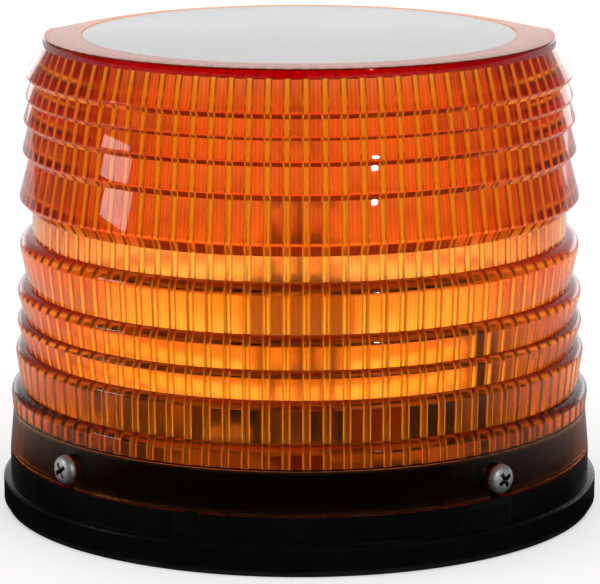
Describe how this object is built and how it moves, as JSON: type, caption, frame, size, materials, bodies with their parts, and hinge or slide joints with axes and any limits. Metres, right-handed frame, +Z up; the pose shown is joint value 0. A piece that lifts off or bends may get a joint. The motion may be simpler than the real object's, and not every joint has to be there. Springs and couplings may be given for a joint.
{
  "type": "strobe beacon",
  "caption": "Drum-shaped amber strobe beacon: ringed, fluted lens screwed to a round black base, with a xenon flash tube and its power supply inside.",
  "frame": {"origin": "centre of the underside, on the mounting face", "axes": "+Z up along the beacon's axis; -Y is the front in the picture, +X is to its right"},
  "size_m": [0.146, 0.146, 0.1153],
  "materials": {
    "amber_lens": "clear moulded polycarbonate",
    "label_film": "satin film",
    "black_housing": "satin moulded",
    "black_rubber": "matte",
    "screw_steel": "bright",
    "insert_brass": "turned",
    "board_laminate": "solder-mask satin",
    "holder_plastic": "moulded",
    "base_ceramic": "glazed",
    "clear_glass": "polished",
    "bright_wire": "drawn",
    "capacitor_sleeve": "shrunk sleeve",
    "ferrite": "sintered",
    "bobbin_plastic": "moulded",
    "copper_winding": "enamelled",
    "potting": "potted",
    "film_capacitor": "dipped",
    "sink_aluminium": "extruded",
    "chip_epoxy": "moulded epoxy",
    "resistor_body": "lacquered",
    "terminal_plastic": "moulded"
  },
  "bodies": {
    "base": {"base_housing": "black_housing", "mounting_gasket": "black_rubber", "cable_grommet": "black_rubber", "lens_seal": "black_rubber", "lens_screws": "screw_steel", "screw_inserts": "insert_brass", "circuit_board": "board_laminate", "board_screws": "screw_steel", "tube_holder": "holder_plastic", "tube_base": "base_ceramic", "tube_pins": "insert_brass", "flash_tube": "clear_glass", "tube_electrodes": "bright_wire", "trigger_band": "bright_wire", "tube_dome": "clear_glass", "storage_capacitors": "capacitor_sleeve", "transformer_core": "ferrite", "transformer_bobbin": "bobbin_plastic", "transformer_winding": "copper_winding", "trigger_coil": "potting", "trigger_capacitor": "film_capacitor", "heat_sink": "sink_aluminium", "heat_sink_screw": "screw_steel", "power_transistor": "chip_epoxy", "choke_core": "ferrite", "choke_winding": "copper_winding", "control_chip": "chip_epoxy", "resistors": "resistor_body", "diodes": "chip_epoxy", "terminal_block": "terminal_plastic", "terminal_screws": "screw_steel"},
    "lens_cover": {"lens": "amber_lens", "lens_label": "label_film"}
  },
  "joints": [
    {"name": "lens_lift", "type": "slide", "parent": "base", "child": "lens_cover", "axis": [0, 0, 1], "range_m": [0, 0.09]}
  ]
}
